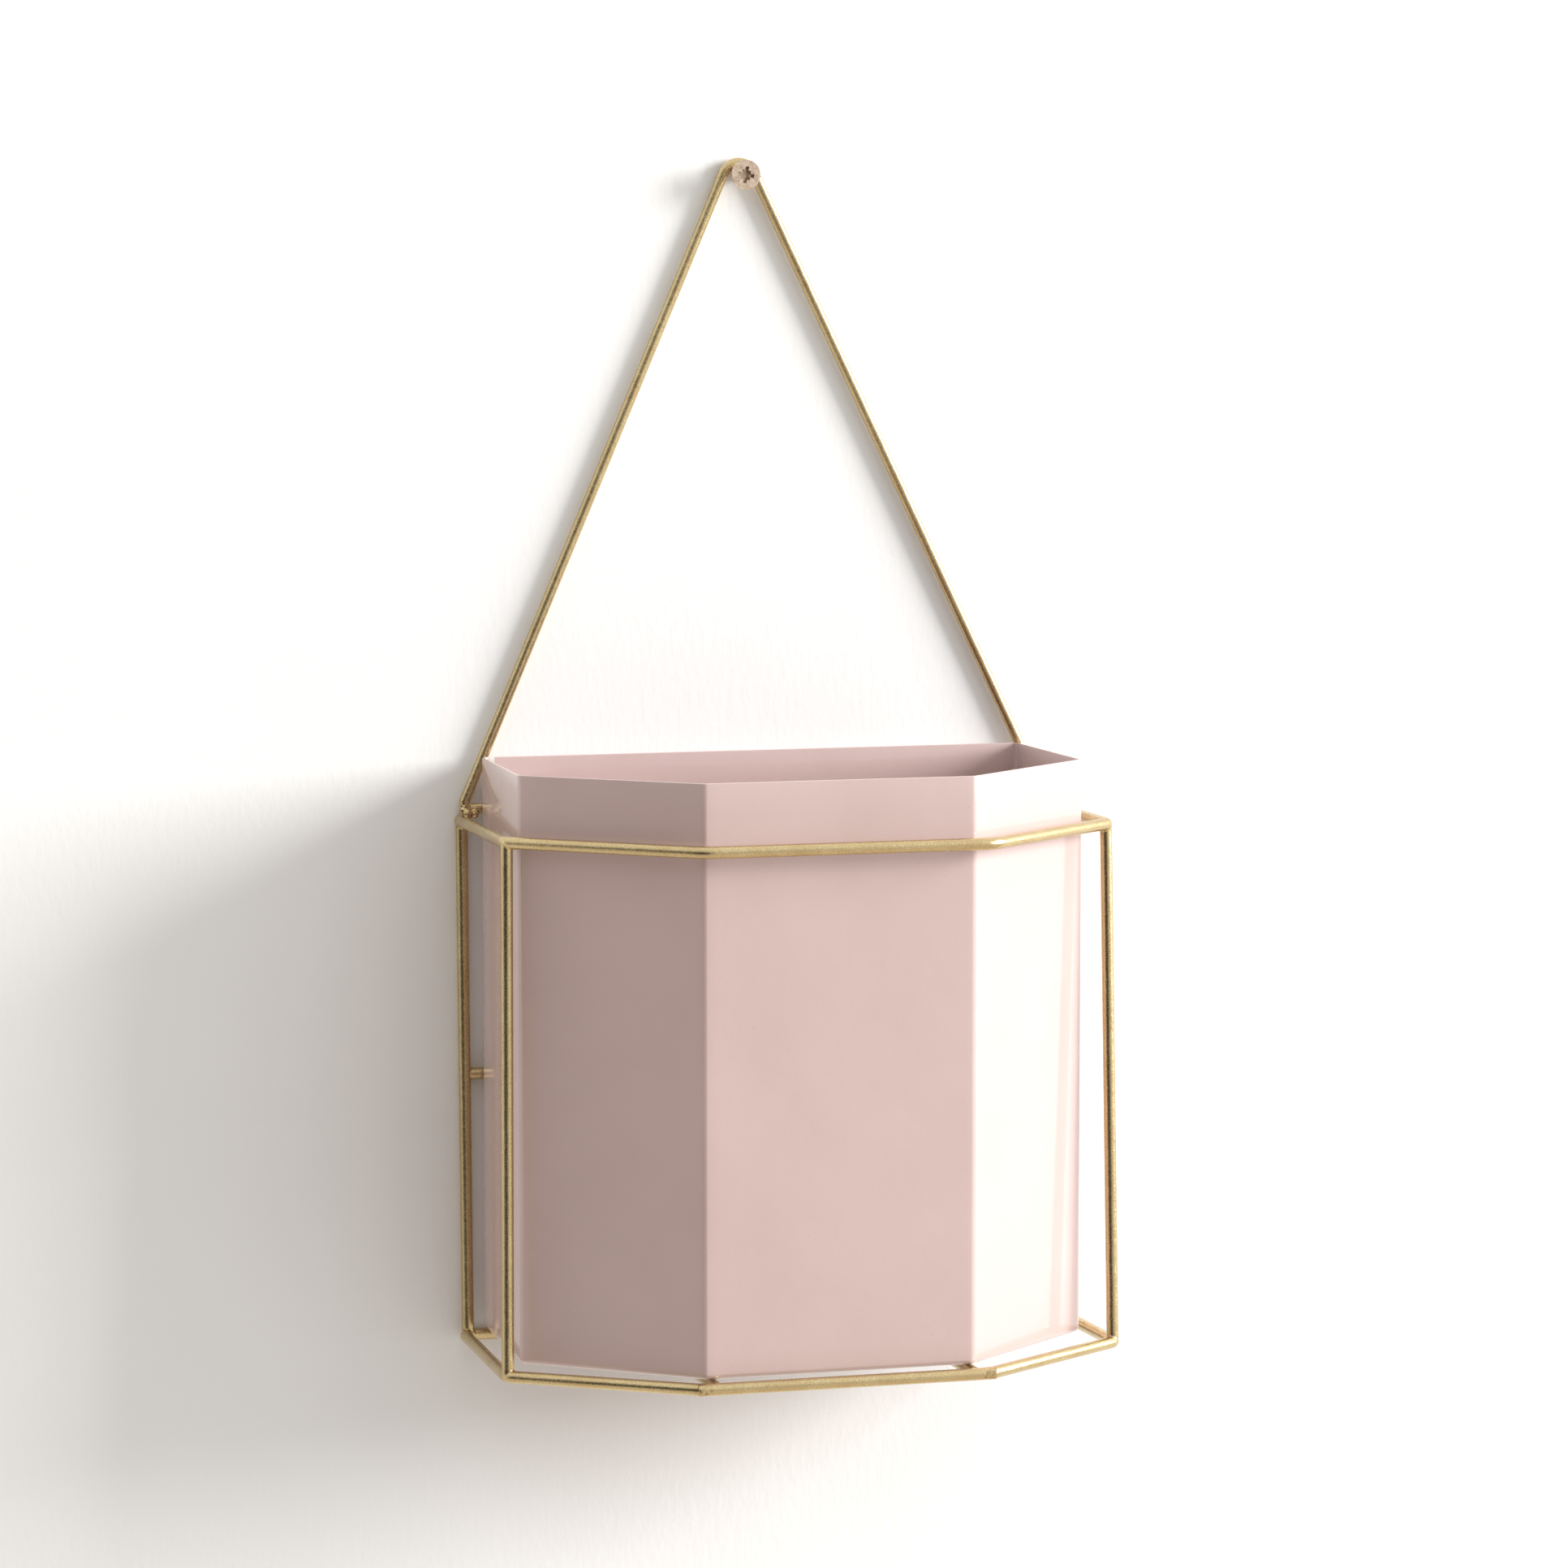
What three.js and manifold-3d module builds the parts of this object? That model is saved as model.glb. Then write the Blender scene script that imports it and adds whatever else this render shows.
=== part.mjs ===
// Wall planter: a folded sheet-metal pot that stands loose in a welded cage of round
// wire, and the cage hangs by a wire triangle on a countersunk wood screw.
//
// Millimetres, +Z up. The origin is where the screw's axis meets the wall: the wall is
// the plane y = 0, the planter stands in front of it at y < 0, and +X is to the right
// for someone who faces the wall.

import * as THREE from 'three';
import { mergeVertices } from 'three/addons/utils/BufferGeometryUtils.js';
import Module from 'manifold-3d';

const wasm = await Module();
wasm.setup();

// ---------------------------------------------------------------- driving dimensions

// Wire of the cage and of the triangle, and how the pieces meet.
const FRAME_WIRE = 3.5;         // diameter of the rings, uprights, bar and rods
const HANGER_WIRE = 3.0;        // diameter of the triangle
const JOINT_GAP = 0.3;          // between two pieces that are welded or rest on each other
const WALL_GAP = 0.25;          // from the wall to the back of the frame wire

// Cage, measured on the wire's centre line. It is bent by hand, so the two rings differ.
const BACK_WIDTH = 176;         // between the two back corners
const TOP_FLARE = 0.5;          // how much further out each front upright stands, at the top
const BOTTOM_FLARE = 2;         // and at the bottom
const SIDE_DEPTH = 57.5;        // from the back wires to the front uprights, at the top
const UPRIGHT_LEAN = 4.5;       // how much further forward they stand at the bottom
const FRONT_WIDTH = 83.2;       // between the two front corners of each ring
const FRONT_DEPTH = 97;         // from the back wires to the top ring's front run
const FRONT_TUCK = 2;           // how much shallower the bottom ring is
const CAGE_HEIGHT = 150;        // from the top ring to the bottom ring
const SIDE_BEND = 3.2;          // centre-line bend radius at the uprights
const FRONT_BEND = 8;           // and at the two softer front corners
const BAR_DROP = 73.5;          // from the top ring down to the bar across the back
const ROD_SPACING = 75;         // between the two rods that carry the pot

// Triangle.
const HANGER_DROP = 180;        // from the middle of its top bend down to its base
const HANGER_OFFSET = 5;        // how far the top bend is left of the cage's middle
const LOOP_BEND = 5;            // centre-line radius of the bend that sits on the screw
const FOOT_BEND = 3.9;          // and of the two bends at the base

// Weld beads.
const FILLET = 1.3;             // how far a bead reaches along both wires
const BAR_FILLET = 2.3;         // the same at the back bar, where the welds are fatter
const FILLET_EDGE = 0.2;        // thickness that a bead runs out to
const CORNER_BEAD = 2.4;        // radius of the lump between the triangle and the top ring

// Pot. The margins run from the top ring's corners to the pot's outer corners.
const SHEET = 0.8;              // sheet thickness
const POT_HEIGHT = 166.5;
const POT_SHIFT = 1.4;          // how far the pot stands left of the cage's middle
const POT_BACK_GAP = 0.35;      // from the back wires to the pot's back
const POT_BACK_MARGIN = 6.7;    // sideways, at the back corners
const POT_SIDE_MARGIN = 5.4;    // sideways, at the side folds
const POT_SIDE_SETBACK = 2;     // towards the wall, at the side folds
const POT_FRONT_MARGIN = 2.5;   // sideways, at the front folds
const POT_FRONT_SETBACK = 5;    // towards the wall, at the front folds
const POT_FOLD = 2.5;           // outer radius of the upright folds
const POT_HEEL = 1.6;           // outer radius of the fold into the bottom flange
const FLANGE = 6;               // width of the flange that carries the base plate
const PLATE_GAP = 0.6;          // round the base plate
const SEAM_WIDTH = 1.6;         // between the sheet's two edges, near the back left corner
const SEAM_CROWN = 0.2;         // how far the weld stands proud inside
const SEAM_NOTCH = 1.6;         // how far below the rim the weld stops

// Wood screw, 4.5 x 40 with a cross recess.
const SCREW_LENGTH = 40;
const SCREW_STANDOFF = 10;      // from the wall to the head's face
const HEAD_DIAMETER = 8.6;
const HEAD_RIM = 0.4;           // straight edge of the head, before its cone
const SHANK_DIAMETER = 3.3;
const THREAD_DIAMETER = 4.5;
const THREAD_CORE = 2.9;
const THREAD_PITCH = 2.2;
const THREAD_START = 6;         // behind the wall
const THREAD_ROOT = 1.0;        // width of the thread where it meets the core
const THREAD_CREST = 0.25;      // and at its edge
const POINT_LENGTH = 5;
const RECESS_SPAN = 5.0;
const RECESS_ARM = 1.1;
const RECESS_CORE = 2.8;        // width of the deeper square in the middle
const RECESS_DEPTH = 1.9;
const RECESS_CORE_DEPTH = 2.4;
const RECESS_TAPER = 0.7;       // width of that square's floor, as a share of its mouth
const RECESS_TURN = 10;         // degrees clockwise, as the screw was left

// Facets.
const WIRE_SIDES = 12;
const BEND_STEPS = 5;
const BEAD_SIDES = 12;
const FILLET_STEPS = 3;
const FOLD_STEPS = 3;
const SCREW_SIDES = 24;
const THREAD_STEPS = 10;        // per turn

// ---------------------------------------------------------------- derived dimensions

const frameRadius = FRAME_WIRE / 2;
const hangerRadius = HANGER_WIRE / 2;
const shankRadius = SHANK_DIAMETER / 2;
const backY = -(WALL_GAP + frameRadius);      // plane of the back wires and the triangle
const cageX = HANGER_OFFSET;
const potX = cageX - POT_SHIFT;

// The top bend's inside rests on the screw's shank, which fixes every height below it.
const loopCentreZ = -(LOOP_BEND - hangerRadius - shankRadius - JOINT_GAP);
const hangerBaseZ = loopCentreZ - HANGER_DROP;
const topRingZ = hangerBaseZ - hangerRadius - JOINT_GAP - frameRadius;
const bottomRingZ = topRingZ - CAGE_HEIGHT;
const barZ = topRingZ - BAR_DROP;
const rodTopZ = bottomRingZ + frameRadius;
const potBottomZ = rodTopZ + JOINT_GAP;
const potRimZ = potBottomZ + POT_HEIGHT;
const potBackY = backY - frameRadius - POT_BACK_GAP;
const potFrontY = backY - FRONT_DEPTH + POT_FRONT_SETBACK;
const plateBottomZ = potBottomZ + SHEET + JOINT_GAP;

// Longer than the planter, for blocks that cut a whole side away.
const beyond = 2 * (BACK_WIDTH + FRONT_DEPTH + HANGER_DROP + CAGE_HEIGHT);

// ---------------------------------------------------------------- finishes

const goldPaint = { color: 0xb99a5b, roughness: 0.42, metalness: 0.9 };
const pinkPaint = { color: 0xd9b3ae, roughness: 0.3, metalness: 0.0 };
const zincPlate = { color: 0xa88f6a, roughness: 0.4, metalness: 0.9 };

// ---------------------------------------------------------------- the assembly

const planter = new THREE.Group();

function addPiece(name, geometry, finish) {
  const mesh = new THREE.Mesh(geometry, new THREE.MeshStandardMaterial(finish));
  mesh.name = name;
  planter.add(mesh);
}

const at = (x, y, z) => new THREE.Vector3(x, y, z);
const UP = at(0, 0, 1);

// ---------------------------------------------------------------- wires

/** A centre line that is sampled only where a wire starts, bends or ends. */
class WirePath extends THREE.Curve {
  constructor(stations, closed = false) {
    super();
    this.stations = closed ? [...stations, stations[0]] : stations;
    this.closed = closed;
  }

  get steps() {
    return this.stations.length - 1;
  }

  station(share) {
    return this.stations[Math.round(share * this.steps)];
  }

  getPointAt(share, target = new THREE.Vector3()) {
    return target.copy(this.station(share).point);
  }

  getTangentAt(share, target = new THREE.Vector3()) {
    return target.copy(this.station(share).tangent);
  }
}

/** The stations of one round bend where a wire turns at a corner. */
function bendStations(before, corner, after, radius) {
  const into = corner.clone().sub(before).normalize();
  const out = after.clone().sub(corner).normalize();
  const turn = into.angleTo(out);
  const axis = into.clone().cross(out).normalize();
  const toCentre = axis.clone().cross(into);
  const start = corner.clone().addScaledVector(into, -radius * Math.tan(turn / 2));
  const centre = start.addScaledVector(toCentre, radius);
  return Array.from({ length: BEND_STEPS + 1 }, (_, k) => {
    const angle = (turn * k) / BEND_STEPS;
    const spoke = toCentre.clone().multiplyScalar(-radius).applyAxisAngle(axis, angle);
    return { point: spoke.add(centre), tangent: into.clone().applyAxisAngle(axis, angle) };
  });
}

/** A wire that bends at each corner between its two ends, which are cut square to y. */
function openPath(corners, radii) {
  const bends = radii.flatMap((radius, i) => {
    return bendStations(corners[i], corners[i + 1], corners[i + 2], radius);
  });
  const first = { point: corners[0], tangent: at(0, -1, 0) };
  const last = { point: corners.at(-1), tangent: at(0, 1, 0) };
  return new WirePath([first, ...bends, last]);
}

/** A wire that closes on itself and bends at every corner. */
function closedPath(corners, radii) {
  const bends = corners.flatMap((corner, i) => {
    return bendStations(corners.at(i - 1), corner, corners[(i + 1) % corners.length], radii[i]);
  });
  return new WirePath(bends, true);
}

function straightPath(start, end) {
  const tangent = end.clone().sub(start).normalize();
  return new WirePath([{ point: start, tangent }, { point: end, tangent }]);
}

function polygon(points) {
  return new THREE.Shape(points.map(([x, y]) => new THREE.Vector2(x, y)));
}

function wireSection(radius) {
  return polygon(Array.from({ length: WIRE_SIDES }, (_, i) => {
    const angle = (2 * Math.PI * i) / WIRE_SIDES;
    return [radius * Math.cos(angle), radius * Math.sin(angle)];
  }));
}

function wire(path, radius) {
  if (path.closed) return new THREE.TubeGeometry(path, path.steps, radius, WIRE_SIDES, true);
  return new THREE.ExtrudeGeometry(wireSection(radius), { steps: path.steps, extrudePath: path });
}

// ---------------------------------------------------------------- cutting and joining

function toSolid(geometry) {
  const bare = geometry.clone();
  bare.deleteAttribute('normal');
  bare.deleteAttribute('uv');
  const merged = mergeVertices(bare);
  const mesh = new wasm.Mesh({
    numProp: 3,
    vertProperties: new Float32Array(merged.attributes.position.array),
    triVerts: new Uint32Array(merged.index.array),
  });
  return new wasm.Manifold(mesh);
}

function toGeometry(solid) {
  const mesh = solid.getMesh();
  const geometry = new THREE.BufferGeometry();
  geometry.setAttribute('position', new THREE.BufferAttribute(new Float32Array(mesh.vertProperties), 3));
  geometry.setIndex(new THREE.BufferAttribute(new Uint32Array(mesh.triVerts), 1));
  return geometry;
}

/** A block between two corners. */
function block(low, high) {
  const size = high.clone().sub(low);
  const middle = low.clone().add(high).multiplyScalar(0.5);
  return toSolid(new THREE.BoxGeometry(...size).translate(...middle));
}

/** A wire's solid, thicker by the gap that a piece welded to it keeps. */
function clearanceWire(path, radius) {
  return toSolid(wire(path, radius + JOINT_GAP));
}

// ---------------------------------------------------------------- rings

/**
 * The six corners of a plan that is the same left and right, from the back left round
 * the front to the back right. Each half is a distance from the middle and a y.
 */
function mirroredPlan(halves, middleX, z) {
  const left = halves.map(([across, y]) => at(middleX - across, y, z));
  const right = halves.map(([across, y]) => at(middleX + across, y, z)).reverse();
  return [...left, ...right];
}

function ringCorners(flare, sideDepth, frontDepth, z) {
  const halves = [
    [BACK_WIDTH / 2, backY],
    [BACK_WIDTH / 2 + flare, backY - sideDepth],
    [FRONT_WIDTH / 2, backY - frontDepth],
  ];
  return mirroredPlan(halves, cageX, z);
}

/** The middle of the round bend at a ring's corner, where an upright meets it. */
function bendMiddle(corners, i, radius) {
  const corner = corners[i];
  const one = corners.at(i - 1).clone().sub(corner).normalize();
  const other = corners[(i + 1) % corners.length].clone().sub(corner).normalize();
  const half = one.angleTo(other) / 2;
  return corner.clone().addScaledVector(one.add(other).normalize(), radius / Math.sin(half) - radius);
}

const bottomSideDepth = SIDE_DEPTH + UPRIGHT_LEAN;
const bottomFrontDepth = FRONT_DEPTH - FRONT_TUCK;
const topCorners = ringCorners(TOP_FLARE, SIDE_DEPTH, FRONT_DEPTH, topRingZ);
const bottomCorners = ringCorners(BOTTOM_FLARE, bottomSideDepth, bottomFrontDepth, bottomRingZ);

// The top ring is open at the back, and its ends are cut flush with the back of the wire.
const ringEnd = (corner) => corner.clone().setY(backY + frameRadius);
const topPath = openPath(
  [ringEnd(topCorners[0]), ...topCorners.slice(1, 5), ringEnd(topCorners[5])],
  [SIDE_BEND, FRONT_BEND, FRONT_BEND, SIDE_BEND],
);
addPiece('top_ring', wire(topPath, frameRadius), goldPaint);

const bottomPath = closedPath(
  bottomCorners,
  [SIDE_BEND, SIDE_BEND, FRONT_BEND, FRONT_BEND, SIDE_BEND, SIDE_BEND],
);
addPiece('bottom_ring', wire(bottomPath, frameRadius), goldPaint);

// ---------------------------------------------------------------- uprights, bar and rods

/** A straight wire that butts against two others whose centre lines pass its ends. */
class Strut {
  constructor(from, to) {
    this.from = from;
    this.to = to;
    this.direction = to.clone().sub(from).normalize();
  }

  get path() {
    const setback = frameRadius + JOINT_GAP;
    const start = this.from.clone().addScaledVector(this.direction, setback);
    const end = this.to.clone().addScaledVector(this.direction, -setback);
    return straightPath(start, end);
  }

  atHeight(z) {
    return this.from.clone().lerp(this.to, (this.from.z - z) / (this.from.z - this.to.z));
  }
}

// The back uprights hang from the ends of the top ring. All the others meet a bend.
const uprights = {
  back_left: new Strut(topCorners[0], bendMiddle(bottomCorners, 0, SIDE_BEND)),
  front_left: new Strut(bendMiddle(topCorners, 1, SIDE_BEND), bendMiddle(bottomCorners, 1, SIDE_BEND)),
  front_right: new Strut(bendMiddle(topCorners, 4, SIDE_BEND), bendMiddle(bottomCorners, 4, SIDE_BEND)),
  back_right: new Strut(topCorners[5], bendMiddle(bottomCorners, 5, SIDE_BEND)),
};
for (const [place, upright] of Object.entries(uprights)) {
  addPiece(`upright_${place}`, wire(upright.path, frameRadius), goldPaint);
}

const barEnd = (upright) => upright.atHeight(barZ).setY(backY);
const bar = new Strut(barEnd(uprights.back_left), barEnd(uprights.back_right));
addPiece('back_bar', wire(bar.path, frameRadius), goldPaint);

const rodFromMiddle = (across) => new Strut(
  at(cageX + across, backY - bottomFrontDepth, bottomRingZ),
  at(cageX + across, backY, bottomRingZ),
);
const rods = { left: rodFromMiddle(-ROD_SPACING / 2), right: rodFromMiddle(ROD_SPACING / 2) };
for (const [side, rod] of Object.entries(rods)) {
  addPiece(`base_rod_${side}`, wire(rod.path, frameRadius), goldPaint);
}

// ---------------------------------------------------------------- triangle

const loopCentre = at(0, backY, loopCentreZ);
const footLeft = topCorners[0].clone().setZ(hangerBaseZ);
const footRight = topCorners[5].clone().setZ(hangerBaseZ);

/** Which way a leg leaves its foot, to pass outside the top bend's centre and touch it. */
function legDirection(foot, side) {
  const toCentre = loopCentre.clone().sub(foot);
  const spread = Math.asin(LOOP_BEND / toCentre.length());
  return toCentre.normalize().applyAxisAngle(at(0, 1, 0), side * spread);
}

/** Where the two legs would meet if the wire had no bend there. */
function legsMeet() {
  const left = legDirection(footLeft, -1);
  const right = legDirection(footRight, 1);
  const base = footRight.clone().sub(footLeft);
  const along = (base.x * right.z - base.z * right.x) / (left.x * right.z - left.z * right.x);
  return footLeft.clone().addScaledVector(left, along);
}

// The base of the triangle lies on the ends of the top ring and ties them together.
const hangerPath = closedPath([footLeft, legsMeet(), footRight], [FOOT_BEND, LOOP_BEND, FOOT_BEND]);
addPiece('hanger_wire', wire(hangerPath, hangerRadius), goldPaint);

// ---------------------------------------------------------------- weld beads

// Welds are ground flush at the back, where the cage lies against the wall.
const behindCage = block(at(-beyond, backY + frameRadius, -beyond), at(beyond, beyond, beyond));

/** A turned solid: a closed outline of radius and height, its axis set to a direction. */
function turned(outline, place, direction) {
  const points = outline.map(([radius, along]) => new THREE.Vector2(radius, along));
  const geometry = new THREE.LatheGeometry([...points, points[0]], BEAD_SIDES);
  const turn = new THREE.Quaternion().setFromUnitVectors(at(0, 1, 0), direction);
  return toSolid(geometry.applyQuaternion(turn).translate(...place));
}

/**
 * The bead round the end of a strut that butts against another wire. It is a collar
 * with a hollow flank, and it reaches down the sides of the other wire.
 */
function filletBead(place, direction, fillet, otherPath) {
  const inner = frameRadius + JOINT_GAP;
  const outer = inner + fillet;
  const top = inner + fillet;
  const sweep = fillet - FILLET_EDGE;
  const flank = Array.from({ length: FILLET_STEPS + 1 }, (_, k) => {
    const angle = (Math.PI / 2) * (k / FILLET_STEPS);
    return [outer - sweep * Math.sin(angle), top - sweep * Math.cos(angle)];
  });
  const foot = frameRadius / 3;
  const collar = turned([[inner, foot], [outer, foot], ...flank, [inner, top]], place, direction);
  return collar.subtract(clearanceWire(otherPath, frameRadius)).subtract(behindCage);
}

for (const [place, upright] of Object.entries(uprights)) {
  const down = upright.direction;
  const up = down.clone().negate();
  const topBead = filletBead(upright.from, down, FILLET, topPath);
  const bottomBead = filletBead(upright.to, up, FILLET, bottomPath);
  addPiece(`weld_top_${place}`, toGeometry(topBead), goldPaint);
  addPiece(`weld_bottom_${place}`, toGeometry(bottomBead), goldPaint);
}

const rightward = bar.direction;
const leftward = rightward.clone().negate();
const barBeadLeft = filletBead(bar.from, rightward, BAR_FILLET, uprights.back_left.path);
const barBeadRight = filletBead(bar.to, leftward, BAR_FILLET, uprights.back_right.path);
addPiece('weld_bar_left', toGeometry(barBeadLeft), goldPaint);
addPiece('weld_bar_right', toGeometry(barBeadRight), goldPaint);

// Under the pot no weld stands higher than the rods.
const underPot = block(at(-beyond, potFrontY - JOINT_GAP, rodTopZ), at(beyond, beyond, beyond));
for (const [side, rod] of Object.entries(rods)) {
  const back = rod.direction;
  const front = back.clone().negate();
  const frontBead = filletBead(rod.from, back, FILLET, bottomPath).subtract(underPot);
  const backBead = filletBead(rod.to, front, FILLET, bottomPath).subtract(underPot);
  addPiece(`weld_rod_${side}_front`, toGeometry(frontBead), goldPaint);
  addPiece(`weld_rod_${side}_back`, toGeometry(backBead), goldPaint);
}

/** What is left of a cut solid once crumbs are dropped. */
function largestBody(solid) {
  return solid.decompose().reduce((a, b) => (a.volume() > b.volume() ? a : b));
}

/** The lump in front of a foot of the triangle that ties it to the top ring. */
function cornerBead(foot, inward) {
  const place = foot.clone();
  place.x += inward * FOOT_BEND / 3;
  place.y -= hangerRadius + JOINT_GAP;
  const ball = new THREE.SphereGeometry(CORNER_BEAD, BEAD_SIDES, BEAD_SIDES / 2);
  const cut = toSolid(ball.translate(...place))
    .subtract(clearanceWire(hangerPath, hangerRadius))
    .subtract(clearanceWire(topPath, frameRadius));
  return largestBody(cut);
}

addPiece('weld_hanger_left', toGeometry(cornerBead(footLeft, 1)), goldPaint);
addPiece('weld_hanger_right', toGeometry(cornerBead(footRight, -1)), goldPaint);

// ---------------------------------------------------------------- pot

const potCorners = mirroredPlan(
  [
    [BACK_WIDTH / 2 - POT_BACK_MARGIN, potBackY],
    [BACK_WIDTH / 2 + TOP_FLARE - POT_SIDE_MARGIN, backY - SIDE_DEPTH + POT_SIDE_SETBACK],
    [FRONT_WIDTH / 2 - POT_FRONT_MARGIN, potFrontY],
  ],
  potX,
  0,
);

/** The pot's plan with every side moved inwards and its upright folds rounded. */
function potShape(inward) {
  const fold = POT_FOLD - inward;
  const outline = potCorners.flatMap((corner, i) => {
    const into = corner.clone().sub(potCorners.at(i - 1)).normalize();
    const out = potCorners[(i + 1) % potCorners.length].clone().sub(corner).normalize();
    const [one, other] = [UP.clone().cross(into), UP.clone().cross(out)];
    const share = 1 / (1 + one.dot(other));
    const toCentre = one.clone().add(other).multiplyScalar(share);
    const centre = corner.clone().addScaledVector(toCentre, POT_FOLD);
    return Array.from({ length: FOLD_STEPS + 1 }, (_, k) => {
      const angle = (into.angleTo(out) * k) / FOLD_STEPS;
      const spoke = one.clone().multiplyScalar(-Math.max(fold, 0)).applyAxisAngle(UP, angle);
      const point = spoke.add(centre).addScaledVector(toCentre, Math.max(-fold, 0));
      return [point.x, point.y];
    });
  });
  const apart = outline.filter(([x, y], i) => {
    const [beforeX, beforeY] = outline.at(i - 1);
    return Math.hypot(x - beforeX, y - beforeY) > 0;
  });
  return polygon(apart);
}

function potSlab(inward, bottom, top) {
  const geometry = new THREE.ExtrudeGeometry(potShape(inward), { depth: top - bottom, bevelEnabled: false });
  return geometry.translate(0, 0, bottom);
}

/** The pot's plan raised from a rounded lower edge to a flat top. */
function potBlock(inward, bottom, top) {
  const heel = POT_HEEL - inward;
  const geometry = new THREE.ExtrudeGeometry(potShape(inward), {
    depth: top - bottom,
    bevelThickness: heel,
    bevelSize: heel,
    bevelOffset: -heel,
    bevelSegments: FOLD_STEPS,
  });
  const above = block(at(-beyond, -beyond, top), at(beyond, beyond, beyond));
  return toSolid(geometry.translate(0, 0, bottom + heel)).subtract(above);
}

// The wall is one folded sheet, with its lower edge turned in to a flange. Its two edges
// meet in a seam that runs up the back, just past the back left fold.
const seamX = potCorners[0].x + POT_FOLD + SEAM_WIDTH / 2;
const seamCut = (depth, top) => block(
  at(seamX - SEAM_WIDTH / 2, potBackY - depth, potBottomZ - SHEET),
  at(seamX + SEAM_WIDTH / 2, potBackY + SHEET, top),
);
const potWall = potBlock(0, potBottomZ, potRimZ)
  .subtract(potBlock(SHEET, potBottomZ + SHEET, potRimZ + SHEET))
  .subtract(toSolid(potSlab(SHEET + FLANGE, potBottomZ - SHEET, plateBottomZ)))
  .subtract(seamCut(SHEET + JOINT_GAP, potRimZ + SHEET))
  .subtract(seamCut(SHEET + FLANGE + JOINT_GAP, plateBottomZ));
addPiece('pot_wall', toGeometry(potWall), pinkPaint);

// The base plate lies on the flange, with a small gap all round.
addPiece('pot_base', potSlab(SHEET + PLATE_GAP, plateBottomZ, plateBottomZ + SHEET), pinkPaint);

// The seam's weld fills it from the heel's top to a notch under the rim, and is a little
// proud inside.
const seamHalf = SEAM_WIDTH / 2 - JOINT_GAP;
const seamBottomZ = plateBottomZ + SHEET + JOINT_GAP;
const seamSection = polygon([
  [-seamHalf, 0],
  [-seamHalf, -SHEET],
  [0, -SHEET - SEAM_CROWN],
  [seamHalf, -SHEET],
  [seamHalf, 0],
]);
const seamWeld = new THREE.ExtrudeGeometry(seamSection, {
  depth: potRimZ - SEAM_NOTCH - seamBottomZ,
  bevelEnabled: false,
});
addPiece('pot_seam_weld', seamWeld.translate(seamX, potBackY, seamBottomZ), pinkPaint);

// ---------------------------------------------------------------- wood screw

const headFaceY = -SCREW_STANDOFF;
const tipY = headFaceY + SCREW_LENGTH;
const coreRadius = THREAD_CORE / 2;

function screwBody() {
  const headRadius = HEAD_DIAMETER / 2;
  const rimEnd = headFaceY + HEAD_RIM;
  const outline = [
    [0, headFaceY],
    [headRadius, headFaceY],
    [headRadius, rimEnd],
    [shankRadius, rimEnd + headRadius - shankRadius],
    [shankRadius, THREAD_START],
    [coreRadius, THREAD_START + shankRadius - coreRadius],
    [coreRadius, tipY - POINT_LENGTH],
    [0, tipY],
  ];
  const points = outline.map(([radius, along]) => new THREE.Vector2(radius, along));
  return toSolid(new THREE.LatheGeometry(points, SCREW_SIDES));
}

/** A helix round the screw's axis whose sections keep facing away from that axis. */
class ThreadPath extends WirePath {
  constructor(radius, start, end) {
    const steps = Math.round(((end - start) / THREAD_PITCH) * THREAD_STEPS);
    const rise = THREAD_PITCH / (2 * Math.PI);
    super(Array.from({ length: steps + 1 }, (_, i) => {
      const angle = (2 * Math.PI * i) / THREAD_STEPS;
      const outward = at(Math.sin(angle), 0, Math.cos(angle));
      const point = outward.clone().multiplyScalar(radius).setY(start + ((end - start) * i) / steps);
      const tangent = at(radius * Math.cos(angle), rise, -radius * Math.sin(angle)).normalize();
      return { point, tangent, outward };
    }));
  }

  computeFrenetFrames() {
    const tangents = this.stations.map(({ tangent }) => tangent);
    const normals = this.stations.map(({ outward }) => outward);
    const binormals = tangents.map((tangent, i) => tangent.clone().cross(normals[i]).normalize());
    return { tangents, normals, binormals };
  }
}

function screwThread() {
  const sunk = coreRadius / 4;
  const path = new ThreadPath(coreRadius, THREAD_START + THREAD_PITCH, tipY - POINT_LENGTH);
  const height = (THREAD_DIAMETER - THREAD_CORE) / 2;
  const section = polygon([
    [-sunk, -THREAD_ROOT / 2],
    [height, -THREAD_CREST / 2],
    [height, THREAD_CREST / 2],
    [-sunk, THREAD_ROOT / 2],
  ]);
  return toSolid(new THREE.ExtrudeGeometry(section, { steps: path.steps, extrudePath: path }));
}

/** The cross recess: two crossed slots with a deeper, tapered square in the middle. */
function screwRecess() {
  const [half, arm] = [RECESS_SPAN / 2, RECESS_ARM / 2];
  const mouthY = headFaceY - HEAD_RIM;
  const floorY = headFaceY + RECESS_DEPTH;
  const across = block(at(-half, mouthY, -arm), at(half, floorY, arm));
  const upright = block(at(-arm, mouthY, -half), at(arm, floorY, half));
  const coreDepth = headFaceY + RECESS_CORE_DEPTH - mouthY;
  const corner = RECESS_CORE / Math.SQRT2;
  const core = new THREE.CylinderGeometry(corner * RECESS_TAPER, corner, coreDepth, 4, 1);
  core.rotateY(Math.PI / 4).translate(0, mouthY + coreDepth / 2, 0);
  return across.add(upright).add(toSolid(core)).rotate([0, RECESS_TURN, 0]);
}

const screw = screwBody().add(screwThread()).subtract(screwRecess());
addPiece('wall_screw', toGeometry(screw), zincPlate);

export default planter;
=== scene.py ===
"""Wall planter: a glossy pink sheet-metal pot that stands loose in a welded cage of gold
wire, hung by a wire triangle on one wood screw. Metres, +Z up, the wall is the plane y = 0."""

import math

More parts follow.
